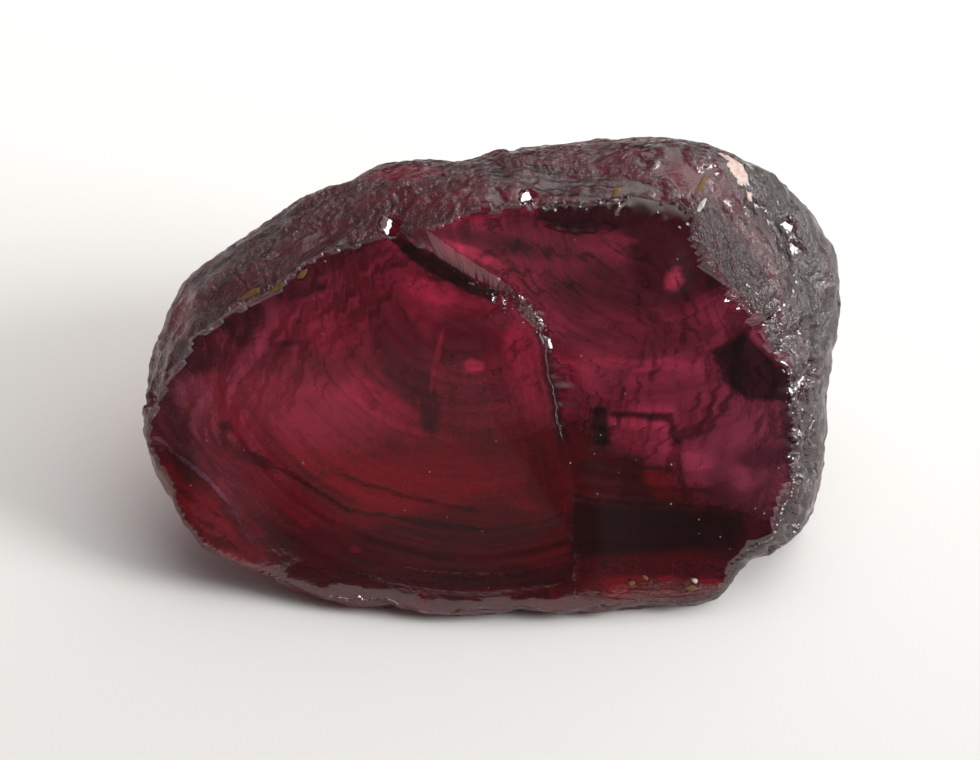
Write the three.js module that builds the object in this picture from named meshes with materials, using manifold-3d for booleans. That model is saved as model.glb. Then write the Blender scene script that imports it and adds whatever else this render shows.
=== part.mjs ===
// Rough garnet: a waterworn pebble of dark red garnet, broken open along one curved fracture.
// It is one natural piece, so it is one solid. It lies on a small flat under its back edge.
//
// The pebble is shaped in the frame of its broken face: u runs along the stone, v up the
// face and w straight out of it. The frame is then leaned back and stood on the floor.

import * as THREE from 'three';
import { mergeVertices } from 'three/addons/utils/BufferGeometryUtils.js';
import Module from 'manifold-3d';

const wasm = await Module();
wasm.setup();

// Driving dimensions, millimetres and degrees
const FACE_LEAN = 42;          // how far the face's normal rises above level
const MIDDLE = [0.07, -0.25, 4.2];  // the pebble's middle, above the centre of the box it fits in
const FRONT_BULGE = 5.7;       // from the middle to the whole pebble's front, before it broke
const BACK_BULGE = 6.0;
const SQUARENESS = 2.7;        // 2 is an ellipse in section, more is boxier
const WORN_EDGE = 0.7;         // rounding where a worn flat meets the pebble
const BALL_DETAIL = 18;        // edges of the icosahedron that the pebble is shaped from are cut in 19

// The pebble seen square to its broken face, anticlockwise from the right end
const OUTLINE = [
  [9.6, 0], [10, 1.7], [10, 2.75], [9.5, 4.05], [8.8, 5], [7.7, 5.95], [6.6, 6.4], [5.2, 6.75],
  [3.5, 6.75], [1.2, 6.6], [-1.1, 6.15], [-3.1, 6.1], [-4.1, 5.65], [-5.8, 5], [-7, 4.15],
  [-8.3, 3.3], [-9.2, 2.5], [-9.8, 1.2], [-10, -0.2], [-9.85, -2], [-9.35, -3.6],
  [-8.25, -4.65], [-6.9, -5.5], [-5.3, -6.2], [-2.2, -6.55], [0.1, -6.65], [1.8, -6.7],
  [4.4, -6.5], [5.6, -6.4], [6.4, -6.1], [6.7, -5.55], [7.4, -5.1], [8.35, -4.8],
  [9.1, -4], [9.4, -3], [9.5, -1.8],
];

// The low half of the outline bulges a little, so it hides what is under it: by this share, over
// this much of the way from level to straight down, and from this slope out of the face
const LIP = { share: 0.015, turn: 0.3, slopeFrom: 0.02, slopeTo: 0.18 };

// Flats worn on the pebble: the way each one looks in the face's frame, and its distance out
const WORN_FLATS = [
  { normal: [0.56, 0.14, 0.75], out: 6.65 },     // right shoulder
  { normal: [-0.03, 0.62, 0.78], out: 5.85 },    // top
  { normal: [-0.42, 0.62, 0.66], out: 6.05 },    // left shoulder
  { normal: [0.86, -0.12, 0.5], out: 8.5 },      // right end
  { normal: [-0.78, -0.4, 0.48], out: 9.6 },     // left end, low
  { normal: [0.7, -0.6, 0.4], out: 9.35 },       // right end, low
  { normal: [-0.8, 0.3, 0.52], out: 8.45 },      // left end, high
  { normal: [0.1, 0.45, -0.88], out: 5.5 },      // back, high
  { normal: [-0.55, 0.15, -0.8], out: 6 },       // back, left
  { normal: [0.62, 0.05, -0.78], out: 6.5 },     // back, right
  { normal: [-0.5, -0.55, -0.66], out: 6.1 },    // underside, left
  { normal: [-0.12, -0.3, -0.95], out: 4.85 },   // underside, behind the resting flat
  { normal: [0.3, -0.25, -0.92], out: 5.15 },    // underside, right
];

// Low lumps left on the skin by wear: waves through the stone. They die out towards the
// outline, which already has its own lumps.
const LUMPS = [
  { wave: [0.9, 0.5, -0.4], phase: 0.3, height: 0.1 },
  { wave: [-0.6, 1.3, 0.8], phase: 1.7, height: 0.09 },
  { wave: [1.7, -0.9, 1.2], phase: 2.9, height: 0.07 },
  { wave: [0.5, 2.4, -1.6], phase: 0.9, height: 0.06 },
];
const LUMP_FADE = 3;           // this near the outline's plane the lumps grow less

// The fracture is two lobes that meet in a ragged step running down the face
const STEP_LINE = [
  [-6.7, 8], [-2.5, 4.05], [0.1, 2.5], [1.2, 1.5], [1.6, -0.7], [2.05, -2.7], [2.2, -5.2], [2.2, -8],
];
const DOME = { height: 3.2, crestU: 0.5, bowU: 0.011, bowV: 0.009, tiltV: 0.02, endU: -3, endFall: 0.0005 };
const LEFT_LOBE = {
  centre: [-0.7, 3], bandRadius: 7.6, bandSlope: 0.2, bandFrom: -9, bandTo: -5.5,
  fall: 0.3, fallFrom: 1, fallTo: -3,
};
const RIGHT_LOBE = { low: -0.4, high: 0.7, from: -0.5, to: 4.8, bandTop: -3.5, bandSlope: 0.13 };
const SLIVER = { slope: 0.07, edge: [[2.1, -4.6], [0.95, -2.7], [-0.06, -1.27], [-0.55, 1.32], [0.6, 2.2]] };

// Shallow dents in the fracture: middle, half sizes, turn about w, and depth
const DENTS = [
  { middle: [2.35, 4.4], half: [1.3, 0.45], turn: 0, depth: 0.1 },      // recess under the top rim
  { middle: [4.7, 3.1], half: [0.85, 0.9], turn: 20, depth: 0.1 },      // round pit
];
const DENT_BALL = 1.2;         // half height of the ball that leaves a dent

// Bites out of the outline: middle, half sizes, and turn about w
const CHIPS = [
  { middle: [7.6, -6.3, 0.5], half: [0.9, 0.7, 3], turn: 0 },           // lower right
  { middle: [-9.95, -0.7, 1.2], half: [0.35, 0.22, 0.7], turn: 10 },    // left end
];

// Small nicks along the right rim, where the fracture meets the worn skin
const RIM = [[6.6, 2.3], [7.6, 1.3], [8.3, 0.3], [8.6, -0.7], [8.7, -2.1], [8.6, -3.3], [8.4, -4.1], [7.8, -5]];
const NICK = { count: 11, radius: 0.42, vary: 0.14, outward: 0.25, sway: 0.1, raised: 0.05 };

const radians = THREE.MathUtils.degToRad;
const smooth = (from, to, x) => THREE.MathUtils.smoothstep(x, from, to);

// Value of a line through sorted points, held level past both ends
function lineValue(points, x) {
  if (x <= points[0][0]) return points[0][1];
  for (let i = 1; i < points.length; i++) {
    const [x0, y0] = points[i - 1];
    const [x1, y1] = points[i];
    if (x <= x1) return y0 + (y1 - y0) * (x - x0) / (x1 - x0);
  }
  return points[points.length - 1][1];
}

// The outline's radius at an angle, smooth through its points
const rimPoints = OUTLINE
  .map(([u, v]) => ({ angle: (Math.atan2(v, u) + 2 * Math.PI) % (2 * Math.PI), radius: Math.hypot(u, v) }))
  .sort((a, b) => a.angle - b.angle);

function rimPoint(i) {
  const n = rimPoints.length;
  const turn = Math.floor(i / n);
  const p = rimPoints[i - turn * n];
  return { angle: p.angle + turn * 2 * Math.PI, radius: p.radius };
}

function outlineRadius(angle) {
  const turned = (angle + 2 * Math.PI) % (2 * Math.PI);
  let i = rimPoints.length - 1;
  while (i >= 0 && rimPoint(i).angle > turned) i--;
  const [before, start, end, after] = [rimPoint(i - 1), rimPoint(i), rimPoint(i + 1), rimPoint(i + 2)];
  const span = end.angle - start.angle;
  const s = (turned - start.angle) / span;
  const rise = span * (end.radius - before.radius) / (end.angle - before.angle);
  const fall = span * (after.radius - start.radius) / (after.angle - start.angle);
  return (2 * s ** 3 - 3 * s ** 2 + 1) * start.radius + (s ** 3 - 2 * s ** 2 + s) * rise
    + (3 * s ** 2 - 2 * s ** 3) * end.radius + (s ** 3 - s ** 2) * fall;
}

// The lesser of two radii, with the corner between them rounded
function roundedMin(a, b, rounding) {
  const h = THREE.MathUtils.clamp(0.5 + 0.5 * (b - a) / rounding, 0, 1);
  return b * (1 - h) + a * h - rounding * h * (1 - h);
}

// Distance from the middle to the worn skin in a direction
function skinRadius(direction) {
  const bulge = direction.z > 0 ? FRONT_BULGE : BACK_BULGE;
  const sideways = Math.hypot(direction.x, direction.y);
  const low = smooth(-LIP.turn, LIP.turn, -direction.y / sideways);
  const lip = 1 + LIP.share * low * smooth(LIP.slopeFrom, LIP.slopeTo, direction.z / sideways);
  const across = sideways / outlineRadius(Math.atan2(direction.y, direction.x)) / lip;
  let radius = (across ** SQUARENESS + (Math.abs(direction.z) / bulge) ** SQUARENESS) ** (-1 / SQUARENESS);
  for (const { normal, out } of WORN_FLATS) {
    const facing = new THREE.Vector3(...normal).normalize().dot(direction);
    if (facing > 0.001) radius = roundedMin(radius, out / facing, WORN_EDGE);
  }
  return radius + lumpHeight(direction.clone().multiplyScalar(radius));
}

function lumpHeight(point) {
  const fade = Math.min(1, Math.abs(point.z) / LUMP_FADE);
  const wave = (lump) => lump.height * Math.sin(new THREE.Vector3(...lump.wave).dot(point) + lump.phase);
  return fade * LUMPS.reduce((sum, lump) => sum + wave(lump), 0);
}

// Height of the fracture above the middle: one broad dome under both lobes
function domeHeight(u, v) {
  const endFall = DOME.endFall * Math.max(DOME.endU - u, 0) ** 3;
  return DOME.height - DOME.bowU * (u - DOME.crestU) ** 2 - DOME.bowV * v ** 2 + DOME.tiltV * v - endFall;
}

// The left lobe falls away outside a wide arc low on the face, and its sliver beside the step
// leans to the right
function leftLobeHeight(u, v) {
  const beyond = Math.hypot(u - LEFT_LOBE.centre[0], v - LEFT_LOBE.centre[1]) - LEFT_LOBE.bandRadius;
  const band = Math.max(beyond, 0) * smooth(LEFT_LOBE.bandFrom, LEFT_LOBE.bandTo, u);
  const edge = lineValue(SLIVER.edge.map(([eu, ev]) => [ev, eu]), v);
  const sliver = SLIVER.slope * Math.max(u - edge, 0) * (1 - smooth(1, 2.2, v));
  const fall = LEFT_LOBE.fall * smooth(-LEFT_LOBE.fallFrom, -LEFT_LOBE.fallTo, -v);
  return domeHeight(u, v) - fall - LEFT_LOBE.bandSlope * band - sliver;
}

// The right lobe stands above the left one at the top and below it lower down
function rightLobeHeight(u, v) {
  const rise = (RIGHT_LOBE.high - RIGHT_LOBE.low) * smooth(RIGHT_LOBE.from, RIGHT_LOBE.to, v);
  const band = Math.max(RIGHT_LOBE.bandTop - v, 0);
  return domeHeight(u, v) + RIGHT_LOBE.low + rise - RIGHT_LOBE.bandSlope * band;
}

// A three.js geometry as a solid, and a solid as a geometry
function solid(geometry) {
  const bare = geometry.index ? geometry.clone() : geometry;
  bare.deleteAttribute('normal');
  bare.deleteAttribute('uv');
  const merged = mergeVertices(bare, 1e-5);
  return new wasm.Manifold(new wasm.Mesh({
    numProp: 3,
    vertProperties: Float32Array.from(merged.attributes.position.array),
    triVerts: Uint32Array.from(merged.index.array),
  }));
}

function geometryOf(manifold) {
  const mesh = manifold.getMesh();
  const geometry = new THREE.BufferGeometry();
  geometry.setAttribute('position', new THREE.BufferAttribute(mesh.vertProperties, 3));
  geometry.setIndex(new THREE.BufferAttribute(mesh.triVerts, 1));
  geometry.computeVertexNormals();
  return geometry;
}

// The whole pebble before it broke
function pebble() {
  const ball = new THREE.IcosahedronGeometry(1, BALL_DETAIL);
  const place = ball.attributes.position;
  const direction = new THREE.Vector3();
  for (let i = 0; i < place.count; i++) {
    direction.fromBufferAttribute(place, i).normalize();
    direction.multiplyScalar(skinRadius(direction.clone()));
    place.setXYZ(i, direction.x, direction.y, direction.z);
  }
  return solid(ball);
}

// What one lobe of the fracture took away: a block over its side of the step, with the
// lobe's surface as its underside
function lobeCut(height, side) {
  const [width, depth, top] = [24, 16, 8];
  const block = new THREE.BoxGeometry(width, depth, 1, 36, 28, 1);
  const place = block.attributes.position;
  for (let i = 0; i < place.count; i++) {
    const [u, v] = [place.getX(i), place.getY(i)];
    place.setZ(i, place.getZ(i) > 0 ? top : height(u, v));
  }
  const reach = side * width / 2;
  const outside = [[reach, -depth / 2], [reach, depth / 2]];
  const plan = new THREE.Shape([...STEP_LINE, ...outside].map(([u, v]) => new THREE.Vector2(u, v)));
  const wall = new THREE.ExtrudeGeometry(plan, { depth: 2 * top, bevelEnabled: false });
  wall.translate(0, 0, -top / 2);
  return solid(block).intersect(solid(wall));
}

// A ball that bites a chip out, and the flatter one whose end leaves a dent in the right lobe
function bite({ middle, half, turn }, detail) {
  const ball = new THREE.IcosahedronGeometry(1, detail);
  ball.scale(...half);
  ball.rotateZ(radians(turn));
  ball.translate(...middle);
  return solid(ball);
}

function dentBall({ middle: [u, v], half, turn, depth }) {
  const above = DENT_BALL - depth;
  const share = Math.sqrt(1 - (above / DENT_BALL) ** 2);
  return { middle: [u, v, rightLobeHeight(u, v) + above], half: [half[0] / share, half[1] / share, DENT_BALL], turn };
}

// Nicks spaced evenly along the right rim, each a little different
function rimNicks() {
  const points = RIM.map(([u, v]) => new THREE.Vector3(u, v, 0));
  const rim = new THREE.CurvePath();
  for (let i = 1; i < points.length; i++) rim.add(new THREE.LineCurve3(points[i - 1], points[i]));
  return Array.from({ length: NICK.count }, (_, i) => {
    const { x: u, y: v } = rim.getPoint(i / (NICK.count - 1));
    const radius = NICK.radius + NICK.vary * Math.sin(2.4 * i);
    return {
      middle: [u + NICK.outward + NICK.sway * Math.cos(3 * i), v, rightLobeHeight(u, v) + NICK.raised],
      half: [0.9 * radius, radius, 1.3 * radius],
      turn: 40 * i,
    };
  });
}

// The floor flat: everything of the stone below the floor is taken off
function floorCut() {
  const block = new THREE.BoxGeometry(30, 30, 10);
  block.translate(0, 0, -5);
  return solid(block);
}

function garnetGeometry() {
  let stone = pebble().subtract(lobeCut(leftLobeHeight, -1)).subtract(lobeCut(rightLobeHeight, 1));
  for (const dent of DENTS) stone = stone.subtract(bite(dentBall(dent), 6));
  for (const chip of CHIPS) stone = stone.subtract(bite(chip, 5));
  for (const nick of rimNicks()) stone = stone.subtract(bite(nick, 1));
  const lean = radians(FACE_LEAN);
  const along = new THREE.Vector3(1, 0, 0);
  const up = new THREE.Vector3(0, Math.sin(lean), Math.cos(lean));
  const out = new THREE.Vector3(0, -Math.cos(lean), Math.sin(lean));
  const stand = new THREE.Matrix4().makeBasis(along, up, out).setPosition(...MIDDLE);
  const stood = solid(geometryOf(stone).applyMatrix4(stand));
  return geometryOf(stood.subtract(floorCut()).simplify(0.01));
}

function garnetMaterial() {
  return new THREE.MeshStandardMaterial({ color: 0x5a1420, roughness: 0.2, metalness: 0 });
}

const garnet = new THREE.Mesh(garnetGeometry(), garnetMaterial());
garnet.name = 'garnet';

const object = new THREE.Group();
object.name = 'rough_garnet';
object.add(garnet);

export default object;
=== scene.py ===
import itertools
import math
import bpy
import numpy as np
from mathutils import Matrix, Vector, noise


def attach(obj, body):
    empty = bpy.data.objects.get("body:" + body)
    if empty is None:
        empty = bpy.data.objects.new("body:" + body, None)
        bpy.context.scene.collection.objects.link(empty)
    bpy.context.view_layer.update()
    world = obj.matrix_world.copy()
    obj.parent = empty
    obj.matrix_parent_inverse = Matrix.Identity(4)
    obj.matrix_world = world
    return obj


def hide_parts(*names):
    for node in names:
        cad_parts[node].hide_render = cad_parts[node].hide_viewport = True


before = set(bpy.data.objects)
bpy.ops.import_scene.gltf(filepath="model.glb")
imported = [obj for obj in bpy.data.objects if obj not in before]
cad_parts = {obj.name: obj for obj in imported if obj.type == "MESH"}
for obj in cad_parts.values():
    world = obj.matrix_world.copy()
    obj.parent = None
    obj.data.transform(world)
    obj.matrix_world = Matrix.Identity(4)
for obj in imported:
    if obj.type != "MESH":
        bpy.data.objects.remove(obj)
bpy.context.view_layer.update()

MM = 0.001

# ---------------------------------------------------------------------------------------
# The stone. A waterworn pebble of dark red garnet, one fragment of a crystal, broken open along
# one curved fracture: worn, frosted skin outside and a glassy, rippled break in front.
# Rolling in gravel wore it, and it lies loose on the few high spots under it.
# ---------------------------------------------------------------------------------------

# Its form is a radius in every direction from its middle, in the frame of the broken face:
# u runs along the stone, v up the face and w straight out of it, in millimetres.
FACE_LEAN = math.radians(42)
MIDDLE = (0.07, -0.25, 4.2)         # where the stone's middle stands, with the floor at 0
FRONT_BULGE, BACK_BULGE, SQUARENESS = 5.7, 6.0, 2.7
WORN_EDGE = 0.7                     # how far each worn flat is rounded into the rest
LIP = 0.015                         # the low edge bulges out by this share and hides what is under it
OUTLINE = [
    (9.6, 0), (10, 1.7), (10, 2.75), (9.5, 4.05), (8.8, 5), (7.7, 5.95), (6.6, 6.4), (5.2, 6.75),
    (3.5, 6.75), (1.2, 6.6), (-1.1, 6.15), (-3.1, 6.1), (-4.1, 5.65), (-5.8, 5), (-7, 4.15),
    (-8.3, 3.3), (-9.2, 2.5), (-9.8, 1.2), (-10, -0.2), (-9.85, -2), (-9.35, -3.6),
    (-8.25, -4.65), (-6.9, -5.5), (-5.3, -6.2), (-2.2, -6.55), (0.1, -6.65), (1.8, -6.7),
    (4.4, -6.5), (5.6, -6.4), (6.4, -6.1), (6.7, -5.55), (7.4, -5.1), (8.35, -4.8),
    (9.1, -4), (9.4, -3), (9.5, -1.8),
]
WORN_FLATS = [      # the way each one faces and its distance from the middle
    ((0.56, 0.14, 0.75), 6.65), ((-0.03, 0.62, 0.78), 5.85), ((-0.42, 0.62, 0.66), 6.05),
    ((0.86, -0.12, 0.5), 8.5), ((-0.78, -0.4, 0.48), 9.6), ((0.7, -0.6, 0.4), 9.35),
    ((0.1, 0.45, -0.88), 5.5), ((-0.55, 0.15, -0.8), 6.0), ((0.62, 0.05, -0.78), 6.5),
    ((-0.5, -0.55, -0.66), 6.1), ((-0.12, -0.3, -0.95), 4.85), ((0.3, -0.25, -0.92), 5.15),
    ((-0.8, 0.3, 0.52), 8.45),
]
LUMPS = [           # wave, phase and height
    ((0.9, 0.5, -0.4), 0.3, 0.1), ((-0.6, 1.3, 0.8), 1.7, 0.09),
    ((1.7, -0.9, 1.2), 2.9, 0.07), ((0.5, 2.4, -1.6), 0.9, 0.06),
]
LUMP_FADE = 3                       # the lumps fade out this near the plane of the outline
SWELL_PITCH, SWELL_HEIGHT = (0.9, 0.9, 0.45), 0.1
GROOVE_PITCH, GROOVE_HEIGHT, GROOVE_SHARPNESS = (1.4, 1.4, 1.5), 0.15, 0.004
PIT_PITCH, PIT_HEIGHT = 1.5, 0.07

FACE_HEIGHT = 3.2
DOME_ALONG, DOME_UP, DOME_TILT, DOME_END = 0.011, 0.009, 0.02, 0.0005
STEP_LINE = [
    (-3.4, 4.9), (-2.5, 4.05), (0.1, 2.5), (1.2, 1.5), (1.6, -0.7), (2.05, -2.7), (2.2, -5.2), (2.2, -8),
]
STEP_RAGS = [(4.3, 1, 0.035), (11.3, 2, 0.02), (23, 0, 0.012)]      # wave, phase and width
STEP_WIDTH, STEP_SPREAD, STEP_FROST = 0.15, 0.8, 0.25       # its low part is wider by the spread
SLIVER_EDGE = [(-4.6, 2.1), (-2.7, 0.95), (-1.27, -0.06), (1.32, -0.55), (2.2, 0.6)]
SLIVER_SLOPE = 0.07
# the middle of each lobe's rings, and where its steeper foot begins and how steep that is
LEFT_CENTRE, LEFT_BAND, LEFT_SLOPE, LEFT_FALL = (-0.7, 3), 7.6, 0.2, 0.3
RIGHT_CENTRE, RIGHT_BAND, RIGHT_SLOPE = (4.2, 4.7), -3.5, 0.13
RIGHT_LOW, RIGHT_RISE = -0.4, 1.1   # the right lobe's height over the left one, and its rise up the face
LEFT_RIPPLE, LEFT_WAVE = 0.0026, 0.47
RIGHT_RIPPLE, RIGHT_WAVE = 0.0024, 0.42
BREAK_REACH, BREAK_HALVINGS = 1.2, 24       # the break is found by halving, out to this share of the skin
RIM_ROUNDING, CRISP_RIM = 0.4, 0.7          # a crisp rim leaves out that share of the rounding
DENTS = [           # middle, half size, turn and depth: a dark recess and a round pit
    ((2.35, 4.4), (1.3, 0.45), 0, 0.05), ((4.7, 3.1), (0.85, 0.9), 20, 0.07),
]
CRACKS = [          # a groove's line, half width and depth
    ([(6.85, -3.8), (7.2, -5), (7.6, -4.5)], 0.05, 0.05),
    ([(2.15, -3.4), (4.2, -3.62), (6.5, -3.7)], 0.04, 0.02),
    ([(-6.8, -2.2), (-4.2, -3.8), (-0.5, -4.3)], 0.05, 0.03),
    ([(-4.4, -2.8), (-2.8, -3.3), (-0.5, -3.8)], 0.04, 0.02),
]
GLINT_WAY = np.array((0.477, 0.112, 0.873))     # the small flats that catch the light all face this way
GLINT_RISE = 0.14                               # none of them stands up by more than this
GLINTS = [          # middle and half size
    ((-2.96, 4.16, 2.74), 0.34), ((0.18, 2.66, 3.5), 0.1), ((0.85, 4.93, 3.48), 0.27),
    ((7.06, 2.06, 2.73), 0.12), ((7.57, 2.65, 2.37), 0.2), ((7.8, 2.15, 2.24), 0.09),
    ((8.61, 0, 2.08), 0.1), ((8.84, -1.83, 1.5), 0.13), ((2.9, 4.75, 3.73), 0.07),
    ((3.25, 4.45, 3.76), 0.06), ((3.6, 4.8, 3.7), 0.05), ((4.5, 4.6, 3.63), 0.06),
]
PATCHES = [         # smooth places in the skin: middle, half size, turn, how clear and how frosted
    ((-8.9, 1.8), (0.3, 0.8), -14, 0.4, 0.2), ((-2.6, 5.75), (1.0, 0.22), 4, 0.7, 0.2),
    ((6.5, 3.5), (2.0, 0.6), -55, 0.015, 0.5), ((2.9, 5.3), (1.9, 0.3), -2, 0.03, 0.1),
    ((-6.4, 3.0), (2.6, 0.35), 29, 0.1, 0.2), ((-9.5, 0.2), (0.4, 1.0), -8, 0.1, 0.2),
    ((-8.6, -3.7), (2.6, 0.8), -52, 0.13, 0.08),
]
CHIPS = [           # middle, half size and turn
    ((7.6, -6.3, 0.5), (0.9, 0.7, 3), 0), ((-9.95, -0.7, 1.2), (0.35, 0.22, 0.7), 10),
]
CHIP_PITCH, CHIP_ROUGHNESS = 1.7, 0.07
RIM = [(6.6, 2.3), (7.6, 1.3), (8.2, 0.3), (8.5, -0.7), (8.6, -2.1), (8.5, -3.3), (8.3, -4.1), (7.7, -5)]
RIDGE = [(7.8, 2.8), (8.1, 2.5), (8.85, 1.6), (8.95, 0.7), (8.8, -0.7), (8.8, -1.8), (8.9, -2.8)]
TOP_RIM = [(0.8, 4.9), (2.5, 4.8), (4.2, 4.6), (5.3, 3.9)]
KNOBS = [(-0.4, 2.75), (0.3, 2.2), (0.9, 1.7), (1.25, 1.35)]
FOLDS = [           # long hollows and swells on the right shoulder: line, half width and height
    ([(7.2, 5.5), (8.0, 4.5), (8.7, 3.5), (9.15, 2.4), (9.4, 1.3)], 0.35, -0.16),
    ([(5.4, 4.1), (6.4, 3.3), (7.4, 2.1), (8.1, 0.9)], 0.22, -0.1),
    ([(5.2, 5.6), (6.6, 4.3), (7.7, 3.4)], 0.5, 0.12),
]
CRUMBLY = [         # line, half width and height
    (RIM, 0.3, 0.15), (RIDGE, 0.28, 0.16), (TOP_RIM, 0.2, 0.1), (KNOBS, 0.28, 0.06),
]
CRUMB_PITCH, CRUMB_PATCHES = 2.9, 1.1
GLOSS_PITCH = 1.3
DULL_LOW, DULL_LOW_SHARE = ((4.8, -6.2), (2.4, 0.45), 0), 0.7       # dull places low on the break
DULL_LEFT, DULL_LEFT_SHARE = ((-7.2, -4.6), (2.2, 0.8), -35), 0.18

SPHERE_CUTS = 99          # the ball's 20 faces are cut in 99 x 99 triangles: 196,020 in all
FRONT_SHARE = 0.3         # shifts the triangles to the front, where the break needs them


def geodesic(cuts):
    """The corners and triangles of a ball, cut evenly from an icosahedron."""
    g = (1 + 5 ** 0.5) / 2
    corners = np.array([(-1, g, 0), (1, g, 0), (-1, -g, 0), (1, -g, 0), (0, -1, g), (0, 1, g),
                        (0, -1, -g), (0, 1, -g), (g, 0, -1), (g, 0, 1), (-g, 0, -1), (-g, 0, 1)])
    sides = [(0, 11, 5), (0, 5, 1), (0, 1, 7), (0, 7, 10), (0, 10, 11), (1, 5, 9), (5, 11, 4),
             (11, 10, 2), (10, 7, 6), (7, 1, 8), (3, 9, 4), (3, 4, 2), (3, 2, 6), (3, 6, 8),
             (3, 8, 9), (4, 9, 5), (2, 4, 11), (6, 2, 10), (8, 6, 7), (9, 8, 1)]
    steps = [(i, j) for i in range(cuts + 1) for j in range(cuts + 1 - i)]
    number = {step: n for n, step in enumerate(steps)}
    weight = np.array([(cuts - i - j, i, j) for i, j in steps]) / cuts
    small = [(number[i, j], number[i + 1, j], number[i, j + 1])
             for i in range(cuts) for j in range(cuts - i)]
    small += [(number[i + 1, j], number[i + 1, j + 1], number[i, j + 1])
              for i in range(cuts - 1) for j in range(cuts - 1 - i)]
    small = np.array(small)
    points = np.concatenate([weight @ corners[list(side)] for side in sides])
    faces = np.concatenate([small + n * len(steps) for n in range(len(sides))])
    points /= np.linalg.norm(points, axis=1, keepdims=True)
    _, first, back = np.unique(points.round(6), axis=0, return_index=True, return_inverse=True)
    return points[first], back.reshape(-1)[faces]


def smooth(start, end, x):
    """0 at the start, 1 at the end and an eased rise between them."""
    t = np.clip((x - start) / (end - start), 0, 1)
    return t * t * (3 - 2 * t)


def soft_noise(places):
    """Even, natural unevenness at each place."""
    return np.array([noise.noise(Vector(p)) for p in places])


def rough_noise(places, fade, step, octaves):
    """Unevenness in several sizes: how fast the finer ones fade, how much finer each is, and how many."""
    return np.array([noise.fractal(Vector(p), fade, step, octaves) for p in places])


def line_distance(u, v, line):
    """Distance to a line of points, and the side it lies on: 1 on the left of its run, else -1."""
    nearest, side = np.full(u.shape, 1e9), np.ones(u.shape)
    for (u0, v0), (u1, v1) in zip(line[:-1], line[1:]):
        du, dv = u1 - u0, v1 - v0
        t = np.clip(((u - u0) * du + (v - v0) * dv) / (du * du + dv * dv), 0, 1)
        off = np.hypot(u - u0 - t * du, v - v0 - t * dv)
        closer = off < nearest
        side = np.where(closer, np.sign(du * (v - v0) - dv * (u - u0)), side)
        nearest = np.where(closer, off, nearest)
    return nearest, side


def oval_place(u, v, middle, half, turn):
    """How far along and across a turned oval each place lies, with the oval's edge at 1."""
    c, s = math.cos(math.radians(turn)), math.sin(math.radians(turn))
    along = ((u - middle[0]) * c + (v - middle[1]) * s) / half[0]
    across = ((v - middle[1]) * c - (u - middle[0]) * s) / half[1]
    return along, across


def oval_mask(u, v, middle, half, turn):
    """1 inside a soft oval and 0 outside it."""
    return 1 - smooth(0.65, 1.3, np.hypot(*oval_place(u, v, middle, half, turn)))


def outline_radius(angle):
    """The outline's distance from the middle at an angle, on a smooth curve through its points."""
    u, v = np.array(OUTLINE, float).T
    turns, radii = np.arctan2(v, u) % math.tau, np.hypot(u, v)
    order = np.argsort(turns)
    turns = np.concatenate([turns[order] - math.tau, turns[order], turns[order] + math.tau])
    radii = np.tile(radii[order], 3)
    angle = angle % math.tau
    i = np.searchsorted(turns, angle) - 1
    span = turns[i + 1] - turns[i]
    s = (angle - turns[i]) / span
    rise = span * (radii[i + 1] - radii[i - 1]) / (turns[i + 1] - turns[i - 1])
    fall = span * (radii[i + 2] - radii[i]) / (turns[i + 2] - turns[i])
    return ((2 * s ** 3 - 3 * s ** 2 + 1) * radii[i] + (s ** 3 - 2 * s ** 2 + s) * rise
            + (3 * s ** 2 - 2 * s ** 3) * radii[i + 1] + (s ** 3 - s ** 2) * fall)


def rounded_min(a, b, rounding):
    """The smaller of two values, with the corner between them rounded."""
    h = np.clip(0.5 + 0.5 * (b - a) / rounding, 0, 1)
    return b * (1 - h) + a * h - rounding * h * (1 - h)


def skin_radius(ways):
    """How far the worn skin lies from the middle in each direction."""
    u, v, w = ways.T
    bulge = np.where(w > 0, FRONT_BULGE, BACK_BULGE)
    level = np.hypot(u, v)
    low = smooth(0.3, -0.3, v / level) * smooth(0.02, 0.18, w / level)
    across = level / outline_radius(np.arctan2(v, u)) / (1 + LIP * low)
    radius = (across ** SQUARENESS + (abs(w) / bulge) ** SQUARENESS) ** (-1 / SQUARENESS)
    for normal, out in WORN_FLATS:
        facing = ways @ (np.array(normal) / np.linalg.norm(normal))
        flat = out / np.maximum(facing, 0.001)
        radius = np.where(facing > 0.001, rounded_min(radius, flat, WORN_EDGE), radius)
    points = ways * radius[:, None]
    fade = np.minimum(1, abs(points[:, 2]) / LUMP_FADE)
    for wave, phase, height in LUMPS:
        radius = radius + fade * height * np.sin(points @ np.array(wave) + phase)
    return radius + skin_relief(points)


def grain(points):
    """A place in the worn grain, which runs round the stone: slow along it and quick across."""
    u, v, w = points.T
    angle, lift = np.arctan2(v, u), np.arctan2(w, np.hypot(u, v))
    return np.stack([2.1 * np.cos(angle), 2.1 * np.sin(angle), 9 * lift], 1)


def skin_relief(points):
    """Swells and grooves along the grain, with pits and a few long folds, in the worn skin."""
    turned = grain(points)
    swells = rough_noise(turned * SWELL_PITCH + 3.1, 0.7, 2.0, 2)
    grooves = np.sqrt(rough_noise(turned * GROOVE_PITCH, 0.6, 2.2, 3) ** 2 + GROOVE_SHARPNESS) - 0.3
    pits = rough_noise(points * PIT_PITCH + 7.3, 0.7, 2.1, 3)
    relief = SWELL_HEIGHT * swells + GROOVE_HEIGHT * grooves + PIT_HEIGHT * pits
    for line, half, height in FOLDS:
        off = line_distance(points[:, 0], points[:, 1], line)[0] / half
        relief = relief + height * np.exp(-off ** 2) * smooth(0, 0.6, points[:, 2])
    return relief


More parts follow.
